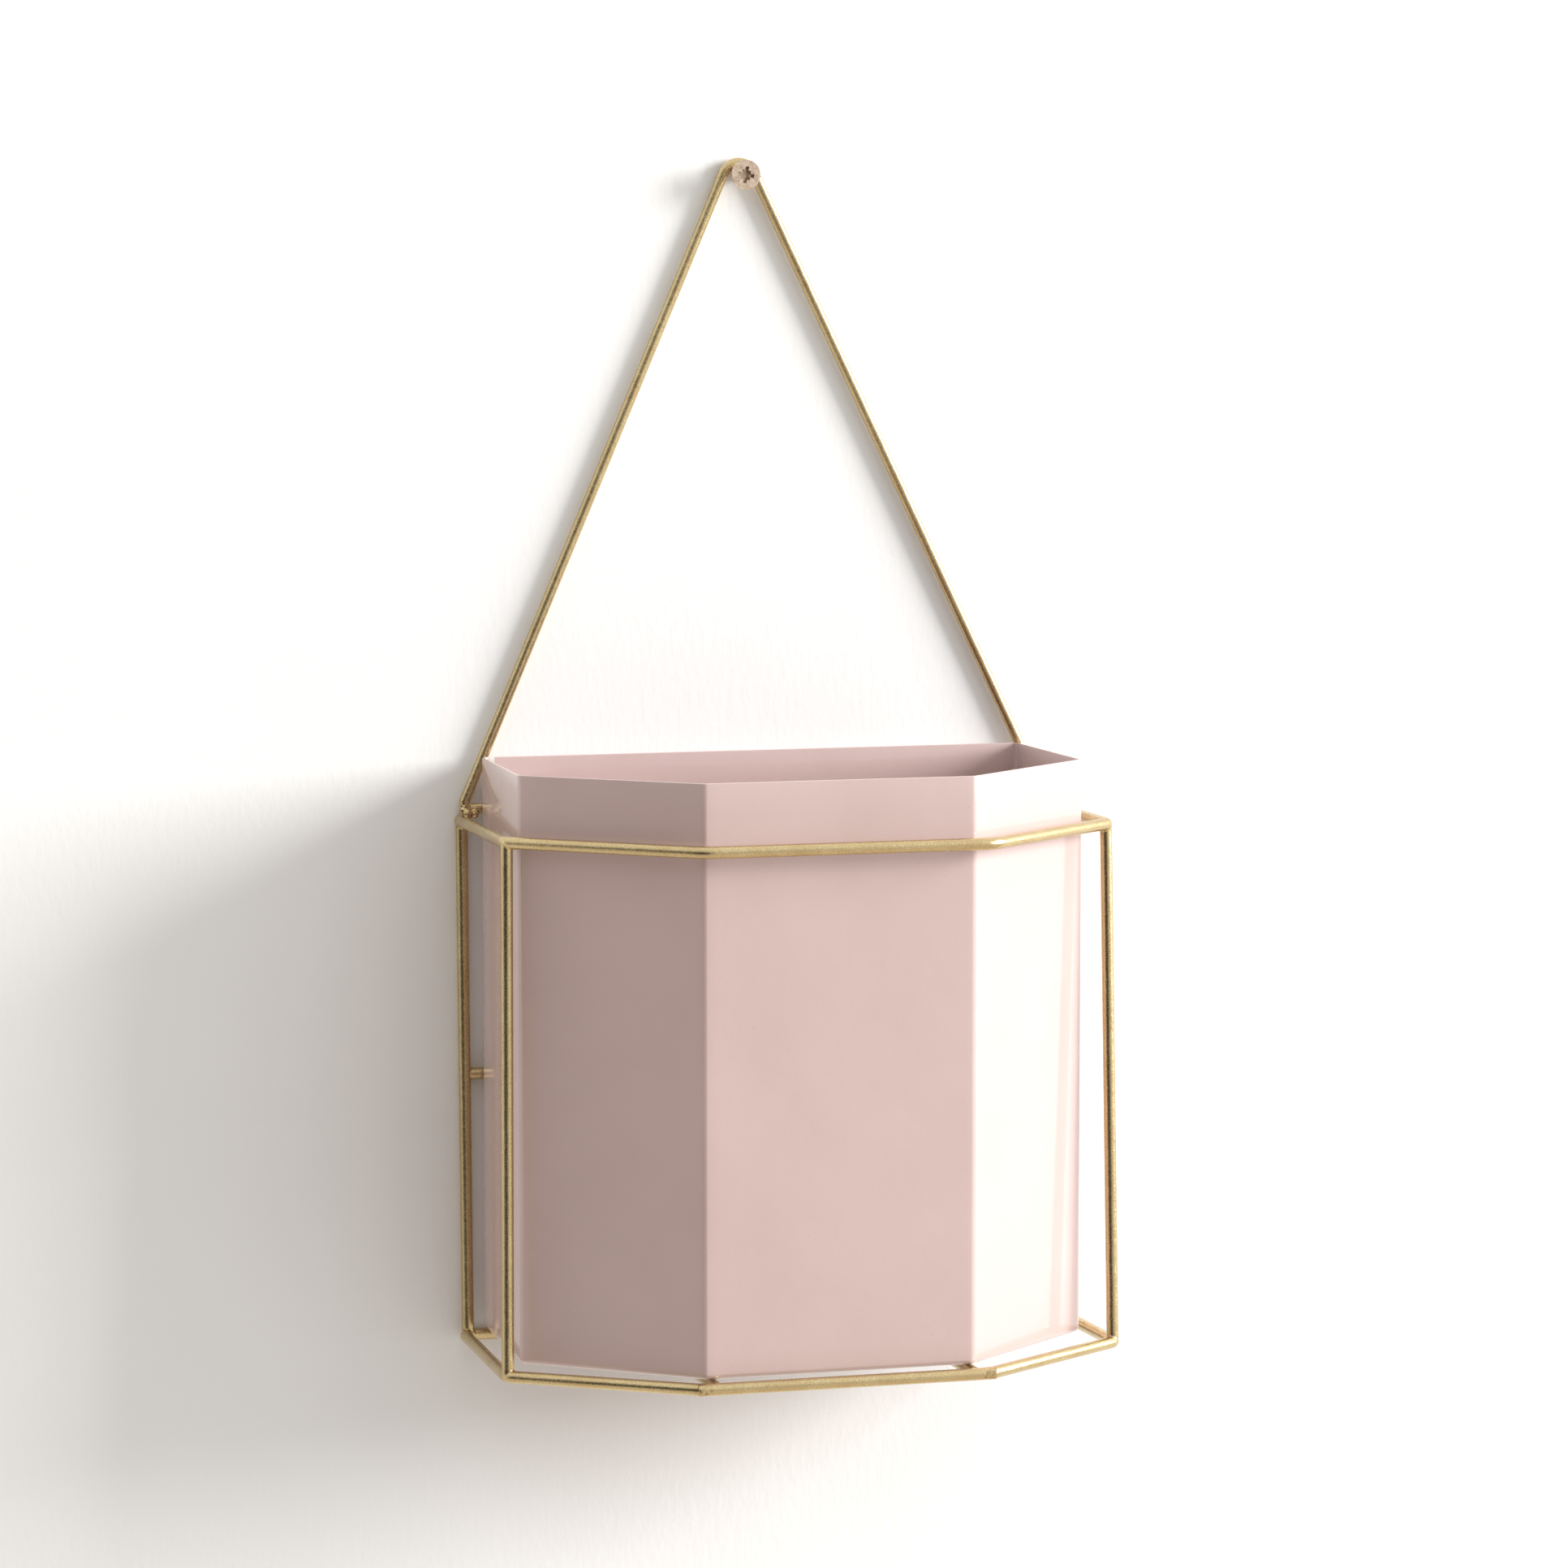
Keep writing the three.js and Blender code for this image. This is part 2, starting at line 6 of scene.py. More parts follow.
import bmesh
import bpy
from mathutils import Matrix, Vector


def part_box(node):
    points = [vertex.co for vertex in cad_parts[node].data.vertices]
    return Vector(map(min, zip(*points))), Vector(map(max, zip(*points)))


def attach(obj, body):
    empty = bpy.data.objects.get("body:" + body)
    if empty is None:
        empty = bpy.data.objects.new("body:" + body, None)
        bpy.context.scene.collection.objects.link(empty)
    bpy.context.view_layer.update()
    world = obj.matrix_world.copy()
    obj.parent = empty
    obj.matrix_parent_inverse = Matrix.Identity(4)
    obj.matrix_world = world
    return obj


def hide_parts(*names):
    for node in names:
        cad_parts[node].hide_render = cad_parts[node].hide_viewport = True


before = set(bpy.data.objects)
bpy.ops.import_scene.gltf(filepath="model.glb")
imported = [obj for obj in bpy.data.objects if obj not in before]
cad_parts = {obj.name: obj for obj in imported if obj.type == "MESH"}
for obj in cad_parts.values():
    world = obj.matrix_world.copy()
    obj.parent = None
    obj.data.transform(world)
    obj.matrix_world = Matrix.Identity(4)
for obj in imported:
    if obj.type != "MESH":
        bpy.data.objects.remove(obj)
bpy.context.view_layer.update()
mm = 0.001

# ------------------------------------------------------------------ wood screw
# A countersunk wood screw with a cross recess, zinc plated and yellowish brown. It is
# upset and thread-rolled from one wire, and stands 10 mm out of the wall.


def only(piece):
    """Leaves edit mode and makes this the one selected object."""
    if bpy.context.mode != "OBJECT":
        bpy.ops.object.mode_set(mode="OBJECT")
    bpy.ops.object.select_all(action="DESELECT")
    piece.select_set(True)
    bpy.context.view_layer.objects.active = piece


def edit(piece):
    """Opens a piece in edit mode, with its place in its mesh and all of it selected."""
    only(piece)
    bpy.ops.object.transform_apply(location=True, rotation=True, scale=True)
    bpy.ops.object.mode_set(mode="EDIT")
    bpy.ops.mesh.select_all(action="SELECT")


def pick(piece, kind, wanted):
    """Selects the faces, edges or verts of a piece in edit mode that pass a test."""
    bpy.ops.mesh.select_mode(type={"faces": "FACE", "edges": "EDGE", "verts": "VERT"}[kind])
    bpy.ops.mesh.select_all(action="DESELECT")
    mesh = bmesh.from_edit_mesh(piece.data)
    for element in getattr(mesh, kind):
        if wanted(element):
            element.select_set(True)
    mesh.select_flush_mode()
    bmesh.update_edit_mesh(piece.data)


def middle(element):
    """The middle of a face or an edge."""
    return sum((v.co for v in element.verts), Vector()) / len(element.verts)


def pull(step, scale=None, centre=None):
    """Extrudes what is selected by a step, and may then scale it about a centre."""
    bpy.ops.mesh.extrude_region_move(TRANSFORM_OT_translate={"value": step})
    if scale is not None:
        bpy.ops.transform.resize(value=scale, center_override=centre)


def apply_modifier(piece, kind, **settings):
    """Adds one modifier with these settings and applies it."""
    only(piece)
    modifier = piece.modifiers.new(kind.lower(), kind)
    for key, value in settings.items():
        setattr(modifier, key, value)
    bpy.ops.object.modifier_apply(modifier=modifier.name)


def outward(piece):
    """Merges doubled points, closes the mesh's normals outwards and smooths its shading."""
    edit(piece)
    bpy.ops.mesh.remove_doubles(threshold=0.002 * mm)
    bpy.ops.mesh.normals_make_consistent(inside=False)
    only(piece)
    bpy.ops.object.shade_smooth_by_angle(angle=math.radians(35))


def fit(piece, name, body, slot, finish, *nodes):
    """Names a finished piece, paints it, sets its body and hides the parts it replaces. Its slot is not
    used.
    """
    only(piece)
    bpy.ops.object.transform_apply(location=True, rotation=True, scale=True)
    piece.name = piece.data.name = name
    piece.data.materials.clear()
    piece.data.materials.append(finish)
    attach(piece, body)
    if nodes:
        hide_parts(*nodes)


def new_material(name):
    """A material with one Principled shader: its node tree and that shader."""
    material = bpy.data.materials.new(name)
    material.use_nodes = True
    return material, material.node_tree, material.node_tree.nodes["Principled BSDF"]


def make_mottle():
    """A node group: fine noise over the object, stretched along its axes."""
    group = bpy.data.node_groups.new("mottle", "ShaderNodeTree")
    group.interface.new_socket("Scale", in_out="INPUT", socket_type="NodeSocketFloat")
    group.interface.new_socket("Stretch", in_out="INPUT", socket_type="NodeSocketVector")
    group.interface.new_socket("Value", in_out="OUTPUT", socket_type="NodeSocketFloat")
    inlet = group.nodes.new("NodeGroupInput")
    outlet = group.nodes.new("NodeGroupOutput")
    place = group.nodes.new("ShaderNodeTexCoord")
    stretched = group.nodes.new("ShaderNodeVectorMath")
    stretched.operation = "MULTIPLY"
    noise = group.nodes.new("ShaderNodeTexNoise")
    noise.inputs["Detail"].default_value = 3.0
    group.links.new(place.outputs["Object"], stretched.inputs[0])
    group.links.new(inlet.outputs["Stretch"], stretched.inputs[1])
    group.links.new(stretched.outputs["Vector"], noise.inputs["Vector"])
    group.links.new(inlet.outputs["Scale"], noise.inputs["Scale"])
    group.links.new(noise.outputs["Fac"], outlet.inputs["Value"])
    return group


mottle_group = make_mottle()


def mottle(tree, grain, low=0.0, high=1.0, span=(0.3, 0.7), stretch=(1, 1, 1)):
    """Noise with grains of about this size in metres, mapped to run from low to high."""
    node = tree.nodes.new("ShaderNodeGroup")
    node.node_tree = mottle_group
    node.inputs["Scale"].default_value = 1 / grain
    node.inputs["Stretch"].default_value = stretch
    ranged = tree.nodes.new("ShaderNodeMapRange")
    ranged.inputs["From Min"].default_value = span[0]
    ranged.inputs["From Max"].default_value = span[1]
    ranged.inputs["To Min"].default_value = low
    ranged.inputs["To Max"].default_value = high
    tree.links.new(node.outputs["Value"], ranged.inputs["Value"])
    return ranged.outputs["Result"]


def blend_colours(tree, share, first, second):
    """A colour between two, each a colour or a socket, by a share."""
    mix = tree.nodes.new("ShaderNodeMix")
    mix.data_type = "RGBA"
    tree.links.new(share, mix.inputs["Factor"])
    for socket, colour in (("A", first), ("B", second)):
        target = [s for s in mix.inputs if s.name == socket and s.type == "RGBA"][0]
        if isinstance(colour, bpy.types.NodeSocket):
            tree.links.new(colour, target)
        else:
            target.default_value = (*colour, 1)
    return [s for s in mix.outputs if s.type == "RGBA"][0]


def bump(tree, height, distance, after=None):
    """Bumps a normal by a height between 0 and 1 over this distance in metres."""
    node = tree.nodes.new("ShaderNodeBump")
    node.inputs["Strength"].default_value = 1.0
    node.inputs["Distance"].default_value = distance
    tree.links.new(height, node.inputs["Height"])
    if after is not None:
        tree.links.new(after, node.inputs["Normal"])
    return node.outputs["Normal"]


def zinc_plate():
    """Yellow passivated zinc: a rosy brown metal, mottled, with a finely scratched face."""
    material, tree, shader = new_material("zinc_plate")
    shader.inputs["Metallic"].default_value = 1.0
    warm = blend_colours(tree, mottle(tree, 1.6 * mm), (0.50, 0.36, 0.27), (0.72, 0.60, 0.47))
    tree.links.new(warm, shader.inputs["Base Color"])
    tree.links.new(mottle(tree, 0.5 * mm, 0.22, 0.5), shader.inputs["Roughness"])
    grain = mottle(tree, 0.18 * mm)
    tree.links.new(bump(tree, grain, 0.02 * mm), shader.inputs["Normal"])
    return material


screw_low, screw_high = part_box("wall_screw")
head_y, tip_y = screw_low.y, screw_high.y
head_radius = screw_high.x
shank_radius = 1.65 * mm
core_radius = 1.45 * mm
thread_radius = 2.25 * mm
thread_pitch = 2.2 * mm
thread_start = 6 * mm
point_length = 5 * mm
point_radius, point_blunt = 0.08 * mm, 0.1 * mm
head_rim = 0.4 * mm
recess_turn = math.radians(10)
edge_round = 0.07 * mm


def screw_blank():
    """The head, its cone, the shank, the thread's core and the point, pulled from a disc."""
    bpy.ops.mesh.primitive_cylinder_add(
        vertices=96, radius=head_radius, depth=head_rim,
        location=(0, head_y + head_rim / 2, 0), rotation=(math.radians(90), 0, 0),
    )
    blank = bpy.context.object
    edit(blank)
    y, radius = head_y + head_rim, head_radius
    pick(blank, "faces", lambda f: middle(f).y > y - 0.01 * mm)
    stations = [
        (y + head_radius - shank_radius, shank_radius),
        (thread_start, shank_radius),
        (thread_start + shank_radius - core_radius, core_radius),
        (tip_y - point_length, core_radius),
        (tip_y - point_blunt, point_radius),
    ]
    for next_y, next_radius in stations:
        share = next_radius / radius
        pull((0, next_y - y, 0), (share, 1, share), (0, next_y, 0))
        y, radius = next_y, next_radius
    outward(blank)
    return blank


def screw_thread():
    """The thread: a tooth's section, carried round the shank by a Screw modifier."""
    root, crest = 1.0 * mm, 0.25 * mm
    turns = 8
    bpy.ops.mesh.primitive_plane_add(size=1)
    tooth = bpy.context.object
    sunk_radius = core_radius * 0.8
    depth = thread_radius - sunk_radius
    tooth.scale = (depth, root, 1)
    tooth.location = (sunk_radius + depth / 2, thread_start + thread_pitch, 0)
    edit(tooth)
    pick(tooth, "edges", lambda e: middle(e).x > thread_radius - 0.01 * mm)
    bpy.ops.transform.resize(value=(1, crest / root, 1))
    bpy.ops.mesh.select_all(action="SELECT")
    bpy.ops.mesh.delete(type="ONLY_FACE")
    apply_modifier(
        tooth, "SCREW", axis="Y", angle=2 * math.pi, screw_offset=thread_pitch,
        iterations=turns, steps=32, render_steps=32, use_merge_vertices=False,
    )
    edit(tooth)
    pick(tooth, "edges", lambda e: e.is_boundary)
    bpy.ops.mesh.edge_face_add()
    outward(tooth)
    return tooth


def cross_cutter():
    """What the punch leaves in the head: two crossed slots, a square pit and four ticks."""
    span, arm, depth = 5.0 * mm, 1.1 * mm, 1.9 * mm
    slot_taper = 0.86
    core, core_depth, core_taper = 2.8 * mm, 2.4 * mm, 0.7
    tick_reach, tick_size = 2.9 * mm, (1.5 * mm, 0.24 * mm, 0.14 * mm)
    above = 0.5 * mm
    parts = []
    for scale in ((span, depth + above, arm), (arm, depth + above, span)):
        bpy.ops.mesh.primitive_cube_add(size=1, location=(0, head_y + (depth - above) / 2, 0))
        slot = bpy.context.object
        slot.scale = scale
        edit(slot)
        pick(slot, "faces", lambda f: middle(f).y > head_y + depth - 0.01 * mm)
        bpy.ops.transform.resize(value=(slot_taper, 1, slot_taper))
        only(slot)
        parts.append(slot)
    bpy.ops.mesh.primitive_cone_add(
        vertices=4, radius1=core / math.sqrt(2), radius2=core * core_taper / math.sqrt(2),
        depth=core_depth + above, location=(0, head_y + (core_depth - above) / 2, 0),
        rotation=(math.radians(-90), 0, 0),
    )
    pit = bpy.context.object
    edit(pit)
    bpy.ops.transform.rotate(value=math.radians(45), orient_axis="Y", center_override=(0, 0, 0))
    only(pit)
    parts.append(pit)
    for turn in range(4):
        angle = math.radians(45 + 90 * turn)
        bpy.ops.mesh.primitive_cube_add(
            size=1, location=(tick_reach * math.cos(angle), head_y, tick_reach * math.sin(angle)),
            rotation=(0, -angle, 0),
        )
        tick = bpy.context.object
        tick.scale = tick_size
        edit(tick)
        only(tick)
        parts.append(tick)
    return parts


def cut(piece, cutter, operation="DIFFERENCE"):
    """Joins or cuts a piece with a cutter, and deletes the cutter."""
    apply_modifier(piece, "BOOLEAN", object=cutter, operation=operation, solver="EXACT")
    bpy.data.objects.remove(cutter)


screw = screw_blank()
cut(screw, screw_thread(), "UNION")
for cutter in cross_cutter():
    cut(screw, cutter)
edit(screw)
bpy.ops.transform.rotate(
    value=-recess_turn, orient_axis="Y", orient_type="GLOBAL", center_override=(0, 0, 0)
)
apply_modifier(
    screw, "BEVEL", width=edge_round, segments=2, limit_method="ANGLE", angle_limit=math.radians(40)
)
outward(screw)
fit(screw, "screw", "screw", "zinc_plate", zinc_plate(), "wall_screw")

# ------------------------------------------------------------------ triangle
# One 3 mm steel wire, bent to a triangle: a tight round bend at the top hangs on the
# screw's shank. It is painted gold together with the cage.


def run_of(before, corner, after, bend):
    """Where a bend starts, its centre, its axis, how far it turns and where it ends."""
    into, out = (corner - before).normalized(), (after - corner).normalized()
    turn = into.angle(out)
    axis = into.cross(out).normalized()
    start = corner - into * bend * math.tan(turn / 2)
    centre = start + axis.cross(into) * bend
    return start, centre, axis, turn, corner + out * bend * math.tan(turn / 2)


def bend_wire(corners, bends, radius, closed=False, square_ends=False):
    """Bends one wire: a round face is pulled from corner to corner and spun at each one."""
    sides, spin_step = 32, math.radians(7)
    if closed:
        corners = [corners[-1], *corners, corners[0]]
    runs = [run_of(*corners[i:i + 3], bend) for i, bend in enumerate(bends)]
    place = runs[-1][4] if closed else corners[0]
    heading = corners[1] - place
    if square_ends:
        heading = Vector((0, heading.y, 0))
    bpy.ops.mesh.primitive_circle_add(
        vertices=sides, radius=radius, fill_type="NGON", location=place,
        rotation=heading.to_track_quat("Z", "Y").to_euler(),
    )
    wire = bpy.context.object
    edit(wire)
    for start, centre, axis, turn, end in runs:
        if (start - place).length > 0.01 * mm:
            pull(start - place)
        steps = max(2, math.ceil(turn / spin_step))
        bpy.ops.mesh.spin(steps=steps, angle=-turn, center=centre, axis=axis)
        place = end
    if closed:
        pick(wire, "faces", lambda f: len(f.verts) > 4)
        bpy.ops.mesh.delete(type="ONLY_FACE")
    else:
        pull(corners[-1] - place)
    outward(wire)
    return wire


def gold_paint(name, burnt=0.0):
    """Metallic gold paint on steel wire: fine flake, and a share of brown where it burnt."""
    material, tree, shader = new_material(name)
    shader.inputs["Metallic"].default_value = 1.0
    flake = mottle(tree, 0.35 * mm)
    colour = blend_colours(tree, flake, (0.50, 0.38, 0.19), (0.74, 0.61, 0.35))
    patches = mottle(tree, 9 * mm, 0.0, 0.35)
    colour = blend_colours(tree, patches, colour, (0.46, 0.30, 0.14))
    if burnt:
        brown = mottle(tree, 1.1 * mm, 0.0, burnt, span=(0.5, 0.68))
        colour = blend_colours(tree, brown, colour, (0.17, 0.075, 0.03))
    tree.links.new(colour, shader.inputs["Base Color"])
    tree.links.new(mottle(tree, 0.22 * mm, 0.17, 0.32), shader.inputs["Roughness"])
    normal = bump(tree, mottle(tree, 0.3 * mm), 0.018 * mm)
    normal = bump(tree, mottle(tree, 3.0 * mm), 0.05 * mm, normal)
    tree.links.new(normal, shader.inputs["Normal"])
    return material


wire_gold = gold_paint("wire_gold")
top_low, top_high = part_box("top_ring")
hanger_low, hanger_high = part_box("hanger_wire")
frame_radius = (top_high.z - top_low.z) / 2
hanger_radius = (hanger_high.y - hanger_low.y) / 2
back_y = (hanger_high.y + hanger_low.y) / 2
base_z = hanger_low.z + hanger_radius
cage_x = 5 * mm
back_width = 176 * mm
hanger_drop = 180 * mm
loop_bend, foot_bend = 5 * mm, 1.8 * mm

loop_centre = Vector((0, back_y, base_z + hanger_drop))
foot_left = Vector((cage_x - back_width / 2, back_y, base_z))
foot_right = Vector((cage_x + back_width / 2, back_y, base_z))


def leg_slope(foot):
    """How steeply a leg rises, in radians, to touch the outside of the round top bend."""
    across, up = abs(loop_centre.x - foot.x), loop_centre.z - foot.z
    return math.atan2(up, across) + math.asin(loop_bend / math.hypot(across, up))


rise_left, rise_right = math.tan(leg_slope(foot_left)), math.tan(leg_slope(foot_right))
apex_x = foot_left.x + back_width * rise_right / (rise_left + rise_right)
apex = Vector((apex_x, back_y, base_z + (apex_x - foot_left.x) * rise_left))
triangle = bend_wire(
    [foot_left, apex, foot_right], [foot_bend, loop_bend, foot_bend], hanger_radius, closed=True
)
fit(triangle, "triangle", "frame", "gold_paint", wire_gold, "hanger_wire")

# ------------------------------------------------------------------ rings
# Two rings of 3.5 mm wire with five straight runs round the pot. The top ring is open at
# the wall, the bottom one is closed. They are bent by hand, so the two differ a little.

side_bend, front_bend = 3.2 * mm, 8 * mm
front_width = 83.2 * mm
side_depth, front_depth = 57.5 * mm, 97 * mm
top_flare, bottom_flare = 0.5 * mm, 2 * mm
upright_lean, front_tuck = 4.5 * mm, 2 * mm
top_z = (top_high.z + top_low.z) / 2
bottom_low, bottom_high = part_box("bottom_ring")
bottom_z = (bottom_high.z + bottom_low.z) / 2


def ring_corners(flare, to_side, to_front, z):
    """A ring's six corners, from the back left round the front to the back right."""
    halves = [
        (back_width / 2, back_y),
        (back_width / 2 + flare, back_y - to_side),
        (front_width / 2, back_y - to_front),
    ]
    left = [Vector((cage_x - across, y, z)) for across, y in halves]
    return left + [Vector((2 * cage_x - p.x, p.y, z)) for p in reversed(left)]


top_corners = ring_corners(top_flare, side_depth, front_depth, top_z)
bottom_corners = ring_corners(
    bottom_flare, side_depth + upright_lean, front_depth - front_tuck, bottom_z
)
ring_end_y = back_y + frame_radius
top_line = [Vector((p.x, ring_end_y, p.z)) if i in (0, 5) else p for i, p in enumerate(top_corners)]
top_ring = bend_wire(
    top_line, [side_bend, front_bend, front_bend, side_bend], frame_radius, square_ends=True
)
bottom_bends = [side_bend, side_bend, front_bend, front_bend, side_bend, side_bend]
bottom_ring = bend_wire(bottom_corners, bottom_bends, frame_radius, closed=True)
fit(top_ring, "upper_ring", "frame", "gold_paint", wire_gold, "top_ring")
fit(bottom_ring, "lower_ring", "frame", "gold_paint", wire_gold, "bottom_ring")

# ------------------------------------------------------------------ uprights, bar and rods
# Straight lengths of the same 3.5 mm wire, cut square and butt-welded: four uprights
# between the rings, a bar across the back and two rods under the pot.


def bend_middle(corners, i):
    """The middle of the round bend at a ring's corner, where an upright meets it."""
    corner = corners[i]
    one = (corners[i - 1] - corner).normalized()
    other = (corners[(i + 1) % len(corners)] - corner).normalized()
    half = one.angle(other) / 2
    return corner + (one + other).normalized() * side_bend * (1 / math.sin(half) - 1)


uprights = {
    "back_left": (top_corners[0], bend_middle(bottom_corners, 0)),
    "front_left": (bend_middle(top_corners, 1), bend_middle(bottom_corners, 1)),
    "front_right": (bend_middle(top_corners, 4), bend_middle(bottom_corners, 4)),
    "back_right": (top_corners[5], bend_middle(bottom_corners, 5)),
}
joint_gap = 0.1 * mm


def strut(start, end):
    """A straight wire between two others whose centre lines pass its ends."""
    setback = (end - start).normalized() * (frame_radius + joint_gap)
    return bend_wire([start + setback, end - setback], [], frame_radius)


for corner, (start, end) in uprights.items():
    fit(strut(start, end), f"post_{corner}", "frame", "gold_paint", wire_gold, f"upright_{corner}")

bar_low, bar_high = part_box("back_bar")
bar_z = (bar_low.z + bar_high.z) / 2


def at_bar(start, end):
    """Where the bar's centre line meets an upright."""
    place = start.lerp(end, (start.z - bar_z) / (start.z - end.z))
    return Vector((place.x, back_y, bar_z))


bar_line = [at_bar(*uprights["back_left"]), at_bar(*uprights["back_right"])]
fit(strut(*bar_line), "cross_bar", "frame", "gold_paint", wire_gold, "back_bar")

rod_lines = {}
for side in ("left", "right"):
    rod_low, rod_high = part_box(f"base_rod_{side}")
    rod_x = (rod_low.x + rod_high.x) / 2
    rod_front_y = bottom_corners[2].y
    rod_lines[side] = [Vector((rod_x, rod_front_y, bottom_z)), Vector((rod_x, back_y, bottom_z))]
    rod = strut(*rod_lines[side])
    fit(rod, f"floor_rod_{side}", "frame", "gold_paint", wire_gold, f"base_rod_{side}")

# ------------------------------------------------------------------ welds
# Each joint is a small weld that has drawn up between the wires with a hollow flank. The
# paint covers it, and where it burnt it is brown. At the triangle's feet it is lumpy.

weld_gold = gold_paint("weld_gold", burnt=0.5)
rough_gold = gold_paint("rough_weld_gold", burnt=0.9)
skin_grain = 0.2 * mm


def towards(start, end, reach):
    """The stub of a wire that starts here and runs this far towards its other end."""
    return [start, start + (end - start).normalized() * reach]


def around(corners, i, reach):
    """The stub of a ring on both sides of one of its corners."""
    corner = corners[i]
    before, after = corners[i - 1], corners[(i + 1) % len(corners)]
    return [towards(corner, before, reach)[1], corner, towards(corner, after, reach)[1]]


def melt(stubs, lumps=(), smooth=24):
    """A weld: stubs of the wires and lumps, melted to one skin that fills their corners."""
    parts = []
    for line, radius, bend in stubs:
        parts.append(bend_wire(line, [bend] * (len(line) - 2), radius))
    for place, size in lumps:
        bpy.ops.mesh.primitive_ico_sphere_add(subdivisions=3, radius=size, location=place)
        lump = bpy.context.object
        edit(lump)
        only(lump)
        parts.append(lump)
    only(parts[0])
    for part in parts:
        part.select_set(True)
    bpy.ops.object.join()
    skin = bpy.context.object
    apply_modifier(skin, "REMESH", mode="VOXEL", voxel_size=skin_grain)
    apply_modifier(skin, "SMOOTH", factor=0.5, iterations=smooth)
    outward(skin)
    return skin


stub, foot_reach, side_reach = 6 * mm, 8 * mm, 9 * mm
for i, (corner, (start, end)) in enumerate(uprights.items()):
    ring_i = (0, 1, 4, 5)[i]
    down, up = towards(start, end, stub), towards(end, start, stub)
    if corner.startswith("back"):
        next_corner = top_corners[1 if i == 0 else 4]
        ring_stub = (towards(top_line[ring_i], next_corner, stub), frame_radius, 0)
    else:
        ring_stub = (around(top_corners, ring_i, stub), frame_radius, side_bend)
    top_bead = melt([(down, frame_radius, 0), ring_stub])
    fit(top_bead, f"bead_top_{corner}", "frame", "gold_paint", weld_gold, f"weld_top_{corner}")
    bottom_stub = (around(bottom_corners, ring_i, stub), frame_radius, side_bend)
    bottom_bead = melt([(up, frame_radius, 0), bottom_stub])
    fit(bottom_bead, f"bead_bottom_{corner}", "frame", "gold_paint", weld_gold, f"weld_bottom_{corner}")

for side, place, other in (("left", *bar_line), ("right", *reversed(bar_line))):
    start, end = uprights[f"back_{side}"]
    along = (end - start).normalized() * stub
    post_stub = [place - along, place + along]
    bar_stub = towards(place, other, stub)
    bar_bead = melt([(post_stub, frame_radius, 0), (bar_stub, frame_radius, 0)], smooth=60)
    fit(bar_bead, f"bead_bar_{side}", "frame", "gold_paint", weld_gold, f"weld_bar_{side}")

for side, (front, back) in rod_lines.items():
    for end_name, place, other in (("front", front, back), ("back", back, front)):
        across = Vector((stub, 0, 0))
        ring_stub = [place - across, place + across]
        rod_stub = towards(place, other, stub)
        bead = melt([(ring_stub, frame_radius, 0), (rod_stub, frame_radius, 0)])
        fit(
            bead, f"bead_rod_{side}_{end_name}", "frame", "gold_paint", weld_gold,
            f"weld_rod_{side}_{end_name}",
        )

for side, foot, inward, end_i, ring_i in (("left", foot_left, 1, 0, 1), ("right", foot_right, -1, 5, 4)):
    ring_stub = (towards(top_line[end_i], top_corners[ring_i], side_reach), frame_radius, 0)
    on_leg = towards(foot, apex, foot_reach)[1]
    on_base = foot + Vector((inward * foot_reach, 0, 0))
    foot_stub = ([on_leg, foot, on_base], hanger_radius, foot_bend)
    lumps = [
        (foot + Vector((inward * 1.2 * mm, -1.9 * mm, -1.4 * mm)), 1.7 * mm),
        (foot + Vector((inward * 3.6 * mm, -1.6 * mm, -1.5 * mm)), 1.2 * mm),
        (foot + Vector((inward * 0.1 * mm, -1.6 * mm, -0.2 * mm)), 1.1 * mm),
    ]
    lump = melt([ring_stub, foot_stub], lumps, smooth=7)
    fit(lump, f"lump_hanger_{side}", "frame", "gold_paint", rough_gold, f"weld_hanger_{side}")

# ------------------------------------------------------------------ pot
# One 0.8 mm steel sheet with five folds, its edges welded at the back left and its lower
# edge turned in to a flange. It is sprayed a dusty pink with a fine orange peel. The
# sheet bows by less than a tenth of a millimetre, as thin folded sheet does.

sheet = 0.8 * mm
pot_low, pot_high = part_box("pot_wall")
pot_x = 3.6 * mm
fold, heel, flange = 2.5 * mm, 1.6 * mm, 6 * mm
back_half, side_half, front_half = 81.3 * mm, 83.1 * mm, 39.1 * mm
pot_side_y = -57.5 * mm
seam_x, seam_half, seam_notch = -74.4 * mm, 0.8 * mm, 1.6 * mm
turned_in = sheet + flange
grid, rim_round = 6 * mm, 0.22 * mm
bow_span, bow_depth = 0.045, 0.16 * mm


def pink_paint(name):
    """Glossy dusty pink enamel: orange peel, faint clouds and a few specks of dust."""
    material, tree, shader = new_material(name)
    clouds = mottle(tree, 30 * mm)
    colour = blend_colours(tree, clouds, (0.545, 0.40, 0.375), (0.575, 0.425, 0.40))
    specks = mottle(tree, 1.3 * mm, 0.0, 0.5, span=(0.74, 0.8))
    colour = blend_colours(tree, specks, colour, (0.30, 0.21, 0.19))
    tree.links.new(colour, shader.inputs["Base Color"])
    tree.links.new(mottle(tree, 2.0 * mm, 0.3, 0.4), shader.inputs["Roughness"])
    shader.inputs["Coat Weight"].default_value = 1.0
    shader.inputs["Coat Roughness"].default_value = 0.04
    normal = bump(tree, mottle(tree, 0.8 * mm), 0.004 * mm)
    normal = bump(tree, mottle(tree, 6 * mm), 0.02 * mm, normal)
    tree.links.new(normal, shader.inputs["Normal"])
    return material


